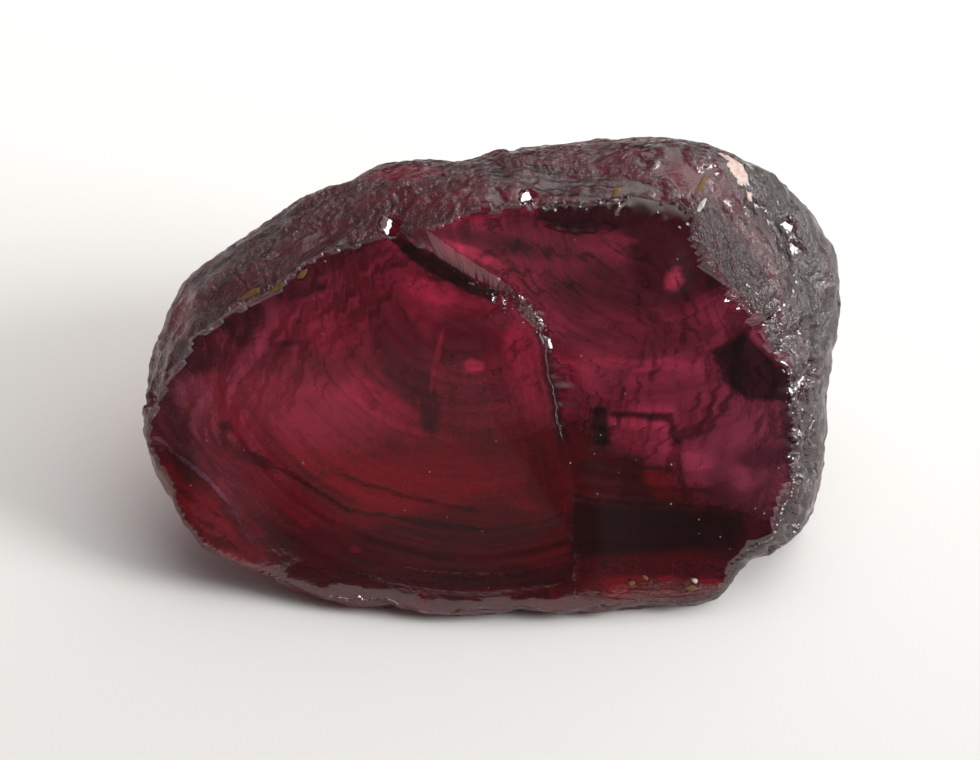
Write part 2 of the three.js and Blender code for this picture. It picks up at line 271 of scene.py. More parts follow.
def beyond_step(u, v):
    """Signed distance from the ragged step between the two lobes, positive on the right lobe."""
    nearest, side = line_distance(u, v, STEP_LINE)
    return nearest * side + sum(width * np.sin(wave * v + phase) for wave, phase, width in STEP_RAGS)


def dome_height(u, v):
    """The gentle dome that both lobes share, with a steeper fall at the left end."""
    left_fall = DOME_END * np.maximum(-u - 3, 0) ** 3
    return FACE_HEIGHT - DOME_ALONG * (u - 0.5) ** 2 - DOME_UP * v ** 2 + DOME_TILT * v - left_fall


def hinge(x, rounding):
    """Zero below 0 and x above it, with the corner rounded."""
    return rounding * np.logaddexp(0, x / rounding)


def left_lobe(u, v):
    """The left lobe: rings round its centre, a steeper band at its foot, and the sliver by the step."""
    ring = np.hypot(u - LEFT_CENTRE[0], v - LEFT_CENTRE[1])
    edge = np.interp(v, *zip(*SLIVER_EDGE))
    sliver = SLIVER_SLOPE * np.maximum(u - edge, 0) * (1 - smooth(1, 2.2, v))
    ripple = LEFT_RIPPLE * np.sin(ring * math.tau / LEFT_WAVE + 1.6 * np.sin(ring * 1.7))
    fall = LEFT_FALL * smooth(1, -3, v)
    band = LEFT_SLOPE * hinge(ring - LEFT_BAND, 0.12) * smooth(-9, -5.5, u)
    return dome_height(u, v) - fall - band - sliver + ripple * smooth(0.3, 1.2, ring)


def right_lobe(u, v):
    """The right lobe: it rises up the face, and has rings round its centre and a steeper foot."""
    ring = np.hypot(u - RIGHT_CENTRE[0], v - RIGHT_CENTRE[1])
    lift = RIGHT_LOW + RIGHT_RISE * smooth(-0.5, 4.8, v)
    band = RIGHT_SLOPE * hinge(RIGHT_BAND - v, 0.05)
    ripple = RIGHT_RIPPLE * np.sin(ring * math.tau / RIGHT_WAVE + 0.6 * np.sin(ring * 2.1))
    rippled = smooth(0.8, 1.6, ring) * smooth(RIGHT_BAND - 0.6, RIGHT_BAND + 0.4, v)
    return dome_height(u, v) + lift - band + ripple * rippled


def dent_depth(u, v, middle, half, turn, depth):
    """A shallow scoop with a crisp rim."""
    along, across = oval_place(u, v, middle, half, turn)
    return depth * np.maximum(0, 1 - along ** 2 - across ** 2)


def face_height(u, v):
    """The fracture's height above the middle."""
    spread = STEP_SPREAD * smooth(2.2, 1.0, v)
    right = smooth(-STEP_WIDTH, STEP_WIDTH + spread, beyond_step(u, v))
    height = left_lobe(u, v) * (1 - right) + right_lobe(u, v) * right
    for dent in DENTS:
        height = height - dent_depth(u, v, *dent)
    for line, half, depth in CRACKS:
        height = height - depth * np.maximum(0, 1 - line_distance(u, v, line)[0] / half)
    return height


def crumble(points):
    """How crumbly the stone is at each point, from 0 to 1, and how far that moves the point."""
    u, v, w = points.T
    share, height = np.zeros(len(points)), np.zeros(len(points))
    rough = rough_noise(points * CRUMB_PITCH + 1.7, 0.5, 2.3, 3)
    patchy = smooth(-0.3, 0.2, soft_noise(points * CRUMB_PATCHES + 4.2))
    for line, half_width, size in CRUMBLY:
        near = np.exp(-(line_distance(u, v, line)[0] / half_width) ** 2) * (w > 0.2) * patchy
        share = np.maximum(share, near)
        height = np.maximum(height, near * size)
    return share, height * (1.1 - 3.2 * abs(rough))


def chip_radius(ways, middle, half, turn):
    """Where each direction from the stone's middle first meets a chip's egg shape."""
    c, s = math.cos(math.radians(turn)), math.sin(math.radians(turn))
    to_egg = np.array([[c, s, 0], [-s, c, 0], [0, 0, 1]]) / np.array(half)[:, None]
    way, centre = ways @ to_egg.T, to_egg @ np.array(middle)
    a, b = (way * way).sum(1), way @ centre
    under = b * b - a * (centre @ centre - 1)
    near = (b - np.sqrt(np.maximum(under, 0))) / a
    return np.where((under > 0) & (near > 0), near, 1e3)


def break_radius(ways, skin):
    """How far the broken stone reaches in each direction, and whether the break ends it there."""
    low, high = np.zeros(len(ways)), BREAK_REACH * skin
    for _ in range(BREAK_HALVINGS):
        half = (low + high) / 2
        above = half * ways[:, 2] > face_height(half * ways[:, 0], half * ways[:, 1])
        high, low = np.where(above, half, high), np.where(above, low, half)
    crisp = smooth(2.5, 4, skin * ways[:, 1]) * smooth(3, 1, skin * ways[:, 0])
    return rounded_min(skin, high, RIM_ROUNDING * (1 - CRISP_RIM * crisp)), high < skin


def skin_frost(points, crumbly):
    """How frosted the worn skin is: most at the back, less where it is crumbly, glossy or low."""
    u, v, w = points.T
    glossy = smooth(-0.1, 0.3, rough_noise(points * GLOSS_PITCH + 9.1, 0.8, 2, 2))
    frost = (0.36 + 0.2 * smooth(1, -2, u) + 0.64 * smooth(0.5, -1.5, w)) * (1 - 0.4 * crumbly)
    shine = (0.4 + 0.45 * smooth(2, 5, u)) * glossy * smooth(-1, 0, w)
    return frost * (1 - shine) * (1 - 0.4 * smooth(-3, -5, v) * (w > 0))


def break_frost(u, v):
    """How frosted the break is: only along the step's upper edge and in two dull places low down."""
    fitful = smooth(-0.3, 0.2, soft_noise(np.stack([u, 2.6 * v, 0 * u], 1)))
    edge = 1 - smooth(0.4, 1.3, abs(beyond_step(u, v)) / STEP_WIDTH)
    upper = (0.15 + 0.85 * smooth(0.4, 1.6, v)) * smooth(-2, -1.2, v) * smooth(2.8, 2.2, v)
    dull_low = DULL_LOW_SHARE * oval_mask(u, v, *DULL_LOW)
    dull_left = DULL_LEFT_SHARE * oval_mask(u, v, *DULL_LEFT) * fitful
    return STEP_FROST * (edge * upper * (0.4 + 0.6 * fitful) + dull_low + dull_left)


def stone_radius(ways):
    """The stone's radius in each direction, and how frosted and how crumbly it is, from 0 to 1."""
    radius, broken = break_radius(ways, skin_radius(ways))
    worn = np.where(broken, 0.0, 1.0)
    roughness = CHIP_ROUGHNESS * rough_noise(ways * radius[:, None] * CHIP_PITCH, 0.6, 2.2, 3)
    for chip in CHIPS:
        cut = chip_radius(ways, *chip) + roughness
        worn = np.where(cut < radius, 0.0, worn)
        radius = np.minimum(radius, cut)
    crumbly, lift = crumble(ways * radius[:, None])
    for middle, half in GLINTS:
        inside = np.linalg.norm(ways * radius[:, None] - middle, axis=1) < half
        flat = (GLINT_WAY @ middle) / np.maximum(ways @ GLINT_WAY, 0.1)
        radius = np.where(inside, np.minimum(flat, radius + GLINT_RISE), radius)
        lift, crumbly, worn = lift * ~inside, crumbly * ~inside, worn * ~inside
    points = ways * radius[:, None]
    u, v, w = points.T
    frost = worn * skin_frost(points, crumbly)
    for middle, half, turn, _, frosting in PATCHES:
        frost = frost + (frosting - frost) * oval_mask(u, v, middle, half, turn) * (w > -1)
    return radius + lift, np.where(broken, break_frost(u, v), frost), crumbly


def stand(points):
    """From the broken face's frame, in millimetres, to the standing stone, in metres."""
    c, s = math.cos(FACE_LEAN), math.sin(FACE_LEAN)
    lean = np.array([(1, 0, 0), (0, s, c), (0, -c, s)])
    return (points @ lean + np.array(MIDDLE)) * MM


ways, triangles = geodesic(SPHERE_CUTS)
ways = ways + np.array([0, 0, FRONT_SHARE])
ways /= np.linalg.norm(ways, axis=1, keepdims=True)
radius, frost, crumbly = stone_radius(ways)
floor_way = -(math.cos(FACE_LEAN) * ways[:, 1] + math.sin(FACE_LEAN) * ways[:, 2])
to_floor = MIDDLE[2] / np.maximum(floor_way, 0.001)
radius = np.where(floor_way > 0.001, np.minimum(radius, to_floor), radius)
points = ways * radius[:, None]

# ---------------------------------------------------------------------------------------
# The stone's colour. The red is in the crystal itself, which swallows green and blue light.
# Light reflected inside it is painted onto the break as soft bright and dark patches, with painted shade
# along its cracks, rings and step.
# The worn skin is nearly black, with painted shade in its hollows and painted light on its ridges, greyed by
# frosting on its ridges.
# ---------------------------------------------------------------------------------------

GLASS_RED, DARKEST = np.array((1.0, 0.48, 0.64)), 0.004
FACE_LEVEL = 0.4                    # how clear the break is where nothing is drawn on it
# painted shade at the left end, and the painted mauve sheen at the left lobe's foot
END_SHADE, MAUVE_SHEEN = 0.3, (-0.12, 0.5, 0.55)
WANDER_PITCH, WANDER_WIDE, WANDER_STEP, WANDER_FINE = 1.2, 0.25, 3.7, 0.11
WANDER_SEED = 9                     # what is drawn wanders off its place, the same way each time
EDGE_SWAY, RING_SWAY = 0.3, 0.25    # the share of it that moves the shadows and the rings
# painted shade: how much the cracks and the step's wall are darkened
CRACK_SHADE, WALL_SHADE = 0.7, 0.6
# painted light and shade of the reflections inside the stone: middle, half size and turn in the face's
# frame, and how clear it is there, from 0 to 1
LEFT_LIGHT_AND_SHADE = [
    ((-3.5, -3.2), (6.2, 1.7), -8, 0.66), ((-4.7, -1.7), (4.1, 1.7), -18, 0.95),
    ((-5.5, 1.1), (1.95, 1.05), 0, 0.5),
    ((-7.2, 1.6), (0.85, 0.75), 20, 0.18), ((-8.3, 0.4), (0.7, 0.33), 0, 0.2),
    ((-8.1, 1.1), (0.36, 0.14), 0, 0.6), ((-6.7, 0.9), (0.2, 0.5), -20, 0.8),
    ((-5.8, 1.5), (0.25, 0.36), 0, 0.65), ((-5.8, 0.9), (0.5, 0.11), 5, 0.22),
    ((-4.7, 1.1), (0.6, 0.67), 0, 0.72), ((-5.4, 2.4), (0.7, 0.22), 15, 0.12),
    ((-1.6, -2.5), (2.1, 0.9), -8, 0.8), ((-1, 1.1), (1, 0.73), 0, 0.2),
    ((-2.7, 0.7), (0.7, 1.6), 14, 0.22), ((-1.9, -0.7), (0.3, 0.95), 9, 0.2),
    ((-1.8, 2.3), (0.86, 0.33), -22, 0.72), ((-1.7, 0.4), (0.08, 0.9), -10, 0.5),
    ((-0.7, 0.3), (0.25, 0.17), 0, 0.85), ((0.5, 0.7), (0.36, 0.14), 3, 0.85),
    ((-8.2, -1.4), (0.22, 0.4), 0, 0.75), ((-7.1, -1.9), (0.3, 0.2), -20, 0.75),
    ((-7.7, -1.5), (0.22, 0.25), 0, 0.2), ((-7.2, -2.2), (1.1, 0.2), -28, 0.36),
    ((-9, -1.8), (0.4, 1.7), 14, 0.25), ((-7.8, -3.3), (0.2, 0.4), -10, 1),
    ((-7.9, -3.7), (0.28, 0.14), 0, 0.95), ((-3.2, -3.4), (0.22, 0.17), 0, 0.95),
    ((-3.2, -5.3), (5.4, 0.9), -7, 0.28), ((0.1, -1.7), (1.1, 0.9), 0, 0.6),
    ((-0.3, -4.3), (2.4, 0.7), -4, 0.36), ((0.5, 1.5), (0.8, 1.1), -20, 0.28),
    ((0.9, -0.2), (0.5, 2.2), 12, 0.66), ((1.3, -3.4), (0.4, 1.5), 8, 0.42),
    ((-7.7, -4.3), (1.7, 0.6), -40, 0.75),
    ((-4, -4.9), (0.17, 0.11), 0, 0.65),
]
RIGHT_LIGHT_AND_SHADE = [
    ((0.1, 4.0), (2.5, 1.0), -10, 0.27), ((3.6, 2.4), (2.25, 1), 0, 0.13), ((4, 1.1), (2.3, 0.67), 0, 0.24),
    ((4, 0.3), (2.2, 0.17), 0, 0.55), ((4, -0.3), (2.25, 0.33), 0, 0.35),
    ((7.2, -2), (1.3, 1.9), 0, 0.36),
    ((2.4, -1), (0.67, 1.25), 0, 0.5), ((4.1, -1.5), (1.1, 0.7), 0, 0.85),
    ((5.1, -2.6), (1.0, 0.8), 0, 1.0), ((3, -2.7), (0.9, 0.25), 0, 0.3),
    ((7.1, -1.4), (0.67, 0.5), 0, 0.4), ((7.5, -2.3), (0.7, 0.42), 0, 0.16),
    ((6.9, -2.9), (0.3, 0.35), 0, 0.6), ((8.4, -1.5), (0.36, 1.7), 0, 0.1),
    ((4.7, -5.8), (2.4, 0.65), 0, 0.62), ((6, -4.3), (0.8, 0.5), 0, 0.2),
    ((-1.3, 4.4), (1.25, 0.28), -4, 0.5), ((-2.5, 4.5), (0.25, 0.2), 0, 0.7),
    ((-0.5, 4.6), (0.53, 0.17), 0, 0.22), ((-0.7, 3.4), (0.92, 0.14), -20, 0.8),
    ((0.4, 3.6), (1.25, 0.25), -14, 0.15),
]
# painted shade of the left lobe's ripples: dark rings, each a radius, half width, and how dark
RINGS = [
    (6.75, 0.05, 0.3), (7.35, 0.07, 0.65), (7.6, 0.13, 0.5), (7.85, 0.05, 0.4), (8.15, 0.09, 0.6),
    (8.45, 0.05, 0.5), (8.75, 0.12, 0.5), (9.1, 0.05, 0.4), (9.35, 0.08, 0.5),
]
# painted shade, with one painted bright spot in the pit: dark straight-edged patches for the shadowed recess
# under the top rim, the step's groove, the dark block low on the right, dark reflections inside the stone
# and the shaded rim of the break at the upper left; the corners of each patch, how soft its edge is, and how
# clear it is
SHADOWS = [
    ([(6, 0.7), (6.9, 1.2), (7.5, 0.8), (8.4, 0), (8.4, -0.7), (7.1, -0.7), (6.3, -0.1)], 0.06, 0.0),
    ([(2.1, -3.5), (4.6, -3.65), (6.8, -3.95), (6.9, -4.9), (2.1, -5.1)], 0.2, 0.07),
    ([(1.2, 4.4), (1.4, 5.3), (4, 5.4), (5.8, 4.9), (6.9, 3.1), (6.6, 2.5), (5.7, 2.3), (4.9, 2.1),
      (4, 2.6), (3.8, 3.3), (3.4, 3.9), (2.2, 4.0)], 0.25, 0.06),
    ([(1.1, 4.3), (1.3, 5.4), (4.6, 5.5), (4.4, 4.4), (3.6, 4.1), (2.2, 4.0)], 0.12, 0.0),
    ([(4.75, 2.85), (5.0, 3.0), (5.15, 2.6), (4.95, 2.4), (4.7, 2.5)], 0.12, 0.7),
    ([(1.9, 3.85), (3.4, 3.9), (3.9, 3.75), (3.6, 3.6), (2, 3.6)], 0.1, 0.3),
    ([(2.75, -0.85), (3.1, -0.8), (3.2, -1.9), (2.7, -2.0)], 0.09, 0.06),
    ([(3.2, -0.95), (4.9, -1.05), (5.3, -1.9), (5.0, -1.95), (4.75, -1.3), (3.2, -1.15)], 0.07, 0.16),
    ([(3.6, -2.1), (4.0, -2.2), (4.3, -3.5), (3.5, -3.5)], 0.2, 0.22),
    ([(5.0, -2.2), (5.15, -2.2), (5.4, -3.6), (5.2, -3.6)], 0.08, 0.3),
    ([(2.2, -2.3), (5.0, -2.6), (5.0, -2.75), (2.2, -2.5)], 0.08, 0.25),
    ([(2.2, -3.0), (6.4, -3.2), (6.4, -3.3), (2.2, -3.15)], 0.08, 0.25),
    ([(-2.5, 3.8), (-1.9, 3.5), (-0.8, 2.8), (0.1, 2.3), (-0.1, 2), (-0.8, 2.3), (-1.9, 2.9),
      (-2.7, 3.5)], 0.06, 0.0),
    ([(-9.6, 0.4), (-7.6, 2.3), (-5.6, 3.2), (-3.4, 4.2), (-3.2, 3.6), (-5.4, 2.5), (-7.4, 1.6),
      (-9, 0.0)], 0.3, 0.16),
]


def shadow_mask(u, v, corners, softness):
    """1 inside straight-edged corners and 0 outside them."""
    ring = corners + corners[:1]
    inside = np.zeros(u.shape, bool)
    for (u0, v0), (u1, v1) in zip(ring[:-1], ring[1:]):
        crosses = (v0 > v) != (v1 > v)
        reach = u0 + (v - v0) * (u1 - u0) / (v1 - v0 if v1 != v0 else 1e-9)
        inside ^= crosses & (u < reach)
    off = line_distance(u, v, ring)[0]
    return smooth(-softness, softness, np.where(inside, off, -off))


def clearness(u, v):
    """How clear the stone is painted under each place on the break, from 0, black, to 1: painted light and
    shade of the reflections inside it, and painted shade along its cracks, rings and step.
    """
    noise.seed_set(WANDER_SEED)
    wander = np.array([noise.noise_vector(Vector(p)) * WANDER_WIDE
                       + noise.noise_vector(Vector(p) * WANDER_STEP) * WANDER_FINE
                       for p in np.stack([u, v, 0 * u], 1) * WANDER_PITCH])
    past_step = beyond_step(u, v)
    left = past_step < 0
    level = np.full(u.shape, FACE_LEVEL)
    # painted light and shade of the reflections inside the stone
    for painted_patches, here in ((LEFT_LIGHT_AND_SHADE, left), (RIGHT_LIGHT_AND_SHADE, ~left)):
        for middle, half, turn, clear in painted_patches:
            sway = min(1, 2.5 * min(half))
            share = oval_mask(u + sway * wander[:, 0], v + sway * wander[:, 1], middle, half, turn) * here
            level = level * (1 - share) + clear * share
    swayed = u + EDGE_SWAY * wander[:, 0], v + EDGE_SWAY * wander[:, 1]
    # painted shade, and one painted bright spot in the pit
    for corners, softness, clear in SHADOWS:
        share = shadow_mask(*swayed, corners, softness)
        level = level * (1 - share) + clear * share
    # painted shade along each crack
    for line, half, _ in CRACKS:
        level = level * (1 - CRACK_SHADE * smooth(2.2, 0.6, line_distance(*swayed, line)[0] / half))
    ring = np.hypot(u - LEFT_CENTRE[0], v - LEFT_CENTRE[1]) + RING_SWAY * wander[:, 0]
    fitful = smooth(-0.35, 0.15, soft_noise(np.stack([0.7 * u, v, 0 * u], 1)))
    ringed = fitful * left * smooth(-8, -6, u)
    # painted shade of the ripple lines
    for radius, half, dark in RINGS:
        level = level * (1 - dark * ringed * np.exp(-((ring - radius) / half) ** 2))
    # painted shade on the step's wall, where its groove looks dark
    wall = smooth(1.6, 0.8, abs(past_step) / STEP_WIDTH) * smooth(-2.2, -1.4, v)
    return level * (1 - WALL_SHADE * wall)


def break_tint(u, v):
    """The break's colour: red where the stone is clear, with painted shade at the left end and a painted
    mauve sheen at its foot.
    """
    to_edge = outline_radius(np.arctan2(v, u)) - np.hypot(u, v)
    left_end = smooth(1.8, 0.4, to_edge) * smooth(-5.5, -8, u)
    tint = GLASS_RED * (clearness(u, v) ** 2 * (1 - END_SHADE * left_end) + DARKEST)[:, None]
    ring = np.hypot(u - LEFT_CENTRE[0], v - LEFT_CENTRE[1])
    mauve = smooth(7.3, 8.3, ring) * smooth(1, -1, u) * smooth(-1, -3, v)
    return tint * (1 + mauve[:, None] * MAUVE_SHEEN)


SKIN_HOLLOW_SHADE, SKIN_RIDGE_LIGHT = np.array((0.012, 0.004, 0.006)), np.array((0.14, 0.08, 0.085))
SKIN_UNDER, SKIN_CLEAR = np.array((0.75, 0.6, 0.66)), np.array((0.8, 0.58, 0.7))


def skin_tint(points):
    """The skin's colour: painted shade in its hollows, painted light on its ridges, clear patches, and far
    paler at the back.
    """
    u, v, w = points.T
    # painted shade in the skin's hollows and painted light on its ridges
    ridge_light = smooth(-0.12, 0.16, skin_relief(points))
    tint = SKIN_HOLLOW_SHADE + (SKIN_RIDGE_LIGHT - SKIN_HOLLOW_SHADE) * ridge_light[:, None]
    for middle, half, turn, clear, _ in PATCHES:
        patch = oval_mask(u, v, middle, half, turn) * (w > -1)
        tint = tint + (SKIN_CLEAR * clear - tint) * patch[:, None]
    return tint + (SKIN_UNDER - tint) * smooth(1.0, -2.0, w)[:, None]


def break_ripple_streaks(u, v):
    """Where the break's streaks run, painted light and shade of its ripples: rings round each lobe's centre,
    and lines down the sliver.
    """
    past_step = beyond_step(u, v)
    middle = np.where(past_step[:, None] < 0, LEFT_CENTRE, RIGHT_CENTRE)
    ring = np.hypot(u - middle[:, 0], v - middle[:, 1])
    bearing = np.arctan2(v - middle[:, 1], u - middle[:, 0])
    rings = np.stack([2.5 * np.cos(bearing), 2.5 * np.sin(bearing), ring], 1)
    edge = np.interp(v, *zip(*SLIVER_EDGE))
    in_sliver = (u > edge) & (past_step < 0) & (v < 2) & (v > -4.6)
    return np.where(in_sliver[:, None], np.stack([0.5 * v, 0 * v, 1.6 * past_step], 1), rings)


BREAK_NEAR = 0.06                   # a point this near the fracture's height is on the break

u, v, w = points.T
on_break = abs(w - face_height(u, v)) < BREAK_NEAR
tint = skin_tint(points)
tint[on_break] = break_tint(u[on_break], v[on_break])
tint = np.concatenate([tint, np.ones((len(points), 1))], 1)
streaks = np.where(on_break[:, None], break_ripple_streaks(u, v), grain(points))

stone_mesh = bpy.data.meshes.new("garnet_stone")
stone_mesh.from_pydata(stand(points).tolist(), [], triangles.tolist())
for name, kind, field, values in (("frost", "FLOAT", "value", frost), ("tint", "FLOAT_COLOR", "color", tint),
                                  ("grain", "FLOAT_VECTOR", "vector", streaks)):
    held = stone_mesh.attributes.new(name, kind, "POINT")
    held.data.foreach_set(field, values.astype(np.float32).ravel())
stone_mesh.shade_smooth()
stone = bpy.data.objects.new("garnet_stone", stone_mesh)
bpy.context.scene.collection.objects.link(stone)

GARNET_IOR = 1.76
VOLUME_RED, VOLUME_DENSITY = (0.87, 0.12, 0.39, 1), 400
LINE_STRETCH, LINE_PITCH, GRIT_PITCH = (0.14, 0.14, 1), 4.5, 5200
SMOOTHEST, ROUGHEST = 0.03, 0.6
BUMP_DEPTH = 0.18 * MM

garnet = bpy.data.materials.new("garnet")
garnet.use_nodes = True
nodes, links = garnet.node_tree.nodes, garnet.node_tree.links


def attribute(name, output):
    """A value held at the mesh's points."""
    node = nodes.new("ShaderNodeAttribute")
    node.attribute_name = name
    return node.outputs[output]


def ranged(value, low, high, to_low, to_high):
    """A value moved from one range to another."""
    node = nodes.new("ShaderNodeMapRange")
    links.new(value, node.inputs["Value"])
    for socket, limit in (("From Min", low), ("From Max", high), ("To Min", to_low), ("To Max", to_high)):
        node.inputs[socket].default_value = limit
    return node.outputs[0]


def speckle(place, scale, detail):
    """Soft speckles, from 0 to 1."""
    node = nodes.new("ShaderNodeTexNoise")
    links.new(place, node.inputs["Vector"])
    node.inputs["Scale"].default_value = scale
    node.inputs["Detail"].default_value = detail
    node.inputs["Roughness"].default_value = 0.6
    return node.outputs["Fac"]


def combined(operation, first, second):
    """Two values added or multiplied."""
    node = nodes.new("ShaderNodeMath")
    node.operation = operation
    links.new(first, node.inputs[0])
    links.new(second, node.inputs[1])
    return node.outputs[0]


shader = nodes["Principled BSDF"]
shader.inputs["IOR"].default_value = GARNET_IOR
shader.inputs["Transmission Weight"].default_value = 1.0
frosting = attribute("frost", "Fac")
grain_place = attribute("grain", "Vector")
object_place = nodes.new("ShaderNodeTexCoord").outputs["Object"]
line_scale = nodes.new("ShaderNodeMapping")
line_scale.inputs["Scale"].default_value = LINE_STRETCH
links.new(grain_place, line_scale.inputs["Vector"])
lines = speckle(line_scale.outputs[0], LINE_PITCH, 5)
grit = speckle(object_place, GRIT_PITCH, 3)

# the streaks darken and brighten the colour: on the break they are painted light and shade of its ripples,
# on the skin the streaks of its worn grain
colour = nodes.new("ShaderNodeMix")
colour.data_type = "RGBA"
colour.blend_type = "MULTIPLY"
front_skin = ranged(frosting, 0.55, 0.9, 1, 0.15)
links.new(combined("MULTIPLY", ranged(frosting, 0, 0.5, 0.5, 1), front_skin), colour.inputs["Factor"])
links.new(attribute("tint", "Color"), colour.inputs["A"])
links.new(ranged(lines, 0.35, 0.65, 0.3, 1.7), colour.inputs["B"])
links.new(colour.outputs["Result"], shader.inputs["Base Color"])
links.new(ranged(frosting, 0, 1, SMOOTHEST, ROUGHEST), shader.inputs["Roughness"])

bump = nodes.new("ShaderNodeBump")
bump.inputs["Distance"].default_value = BUMP_DEPTH
bumpiness = combined("MULTIPLY", ranged(frosting, 0, 0.5, 0.015, 1), front_skin)
links.new(combined("MULTIPLY", combined("ADD", lines, grit), bumpiness), bump.inputs["Height"])
links.new(bump.outputs[0], shader.inputs["Normal"])

volume = nodes.new("ShaderNodeVolumeAbsorption")
volume.inputs["Color"].default_value = VOLUME_RED
volume.inputs["Density"].default_value = VOLUME_DENSITY
links.new(volume.outputs[0], nodes["Material Output"].inputs["Volume"])
stone_mesh.materials.append(garnet)

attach(stone, "root")
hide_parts("garnet")

# ---------------------------------------------------------------------------------------
# Crusts. Thin scabs of other minerals grew on the worn skin and along the rim of the break.
# They are rusty ochre on both sides of it, and pink and white on the right. Each is one low
# mound with a ragged rim, rooted in the stone.
# ---------------------------------------------------------------------------------------

CRUST_RINGS, CRUST_SIDES = 5, 18
CRUST_THICK, CRUST_ROOT = 0.025, 0.15       # a scab's height over the skin, and its depth under it
CRUST_LUMPS, CRUST_PITCH = 0.015, 60
CRUST_RAGS = 0.5
MOTTLE_DARK, MOTTLE_PALE, MOTTLE_PITCH = 0.35, 1.5, 9000


def scab_ways(middle, half, turn, seed):
    """Rings of directions round a place on the stone, ragged at the rim."""
    way = np.array(middle) / np.linalg.norm(middle)
    level = np.array((math.cos(math.radians(turn)), math.sin(math.radians(turn)), 0))
    along = level - way * (level @ way)
    along /= np.linalg.norm(along)
    across = np.cross(way, along)
    angle = np.arange(CRUST_SIDES) * math.tau / CRUST_SIDES
    round_it = np.stack([0.8 * np.cos(angle), 0.8 * np.sin(angle), np.full(CRUST_SIDES, seed)], 1)
    ragged = 1 + CRUST_RAGS * rough_noise(round_it, 0.8, 2, 3)
    places = [np.array(middle)]
    for ring in np.arange(1, CRUST_RINGS + 1) / CRUST_RINGS:
        sideways = np.outer(half[0] * np.cos(angle), along) + np.outer(half[1] * np.sin(angle), across)
        places.extend(np.array(middle) + sideways * (ring * ragged)[:, None])
    places.append(np.array(middle))
    return np.array(places) / np.linalg.norm(places, axis=1, keepdims=True)


def scab_faces(first):
    """A scab's faces: a fan at its top, rings of four-sided faces down to its rim, and a fan under it."""
    bottom = first + 1 + CRUST_RINGS * CRUST_SIDES
    faces = []
    for j in range(CRUST_SIDES):
        k = (j + 1) % CRUST_SIDES
        faces.append((first, first + 1 + j, first + 1 + k))
        for start in range(first + 1, bottom - CRUST_SIDES, CRUST_SIDES):
            faces.append((start + j, start + CRUST_SIDES + j, start + CRUST_SIDES + k, start + k))
        faces.append((bottom, bottom - CRUST_SIDES + k, bottom - CRUST_SIDES + j))
    return faces


def crust_mottle():
    """A group that mottles a crust between a dark and a pale colour."""
    group = bpy.data.node_groups.new("crust_mottle", "ShaderNodeTree")
    group.interface.new_socket("Dark", in_out="INPUT", socket_type="NodeSocketColor")
    group.interface.new_socket("Pale", in_out="INPUT", socket_type="NodeSocketColor")
    group.interface.new_socket("Colour", in_out="OUTPUT", socket_type="NodeSocketColor")
    given, result = group.nodes.new("NodeGroupInput"), group.nodes.new("NodeGroupOutput")
    crumbs = group.nodes.new("ShaderNodeTexNoise")
    crumbs.inputs["Scale"].default_value = MOTTLE_PITCH
    crumbs.inputs["Detail"].default_value = 3
    group.links.new(group.nodes.new("ShaderNodeTexCoord").outputs["Object"], crumbs.inputs["Vector"])
    mixed = group.nodes.new("ShaderNodeMix")
    mixed.data_type = "RGBA"
    group.links.new(given.outputs["Dark"], mixed.inputs["A"])
    group.links.new(given.outputs["Pale"], mixed.inputs["B"])
    group.links.new(crumbs.outputs["Fac"], mixed.inputs["Factor"])
    group.links.new(mixed.outputs["Result"], result.inputs["Colour"])
    return group


mottle = crust_mottle()


def crust_mineral(name, colour, roughness):
    """A crust's own mineral, mottled round its colour."""
    mineral = bpy.data.materials.new(name)
    mineral.use_nodes = True
    mottled = mineral.node_tree.nodes.new("ShaderNodeGroup")
    mottled.node_tree = mottle
    mottled.inputs["Dark"].default_value = (*[MOTTLE_DARK * c for c in colour], 1)
    mottled.inputs["Pale"].default_value = (*[MOTTLE_PALE * c for c in colour], 1)
    surface = mineral.node_tree.nodes["Principled BSDF"]
    surface.inputs["Roughness"].default_value = roughness
    mineral.node_tree.links.new(mottled.outputs["Colour"], surface.inputs["Base Color"])
    return mineral


def crust(name, colour, roughness, scabs):
    """One closed mesh of scabs, each given by its middle, half size and turn."""
    ways = np.concatenate([scab_ways(*scab, seed) for seed, scab in enumerate(scabs)])
    rings = np.repeat(np.arange(CRUST_RINGS + 1), [1] + [CRUST_SIDES] * CRUST_RINGS) / CRUST_RINGS
    thickness = CRUST_THICK * (1 - 1.8 * rings ** 4)
    lift = np.tile(np.append(thickness, -CRUST_ROOT), len(scabs))
    lumps = CRUST_LUMPS * soft_noise(ways * CRUST_PITCH)
    points = ways * (stone_radius(ways)[0] + lift + lumps)[:, None]
    faces = sum([scab_faces(first) for first in range(0, len(ways), len(rings) + 1)], [])
    crust_mesh = bpy.data.meshes.new(name)
    crust_mesh.from_pydata(stand(points).tolist(), [], faces)
    crust_mesh.shade_smooth()
    crust_mesh.materials.append(crust_mineral(name, colour, roughness))
    piece = bpy.data.objects.new(name, crust_mesh)
    bpy.context.scene.collection.objects.link(piece)
    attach(piece, "root")


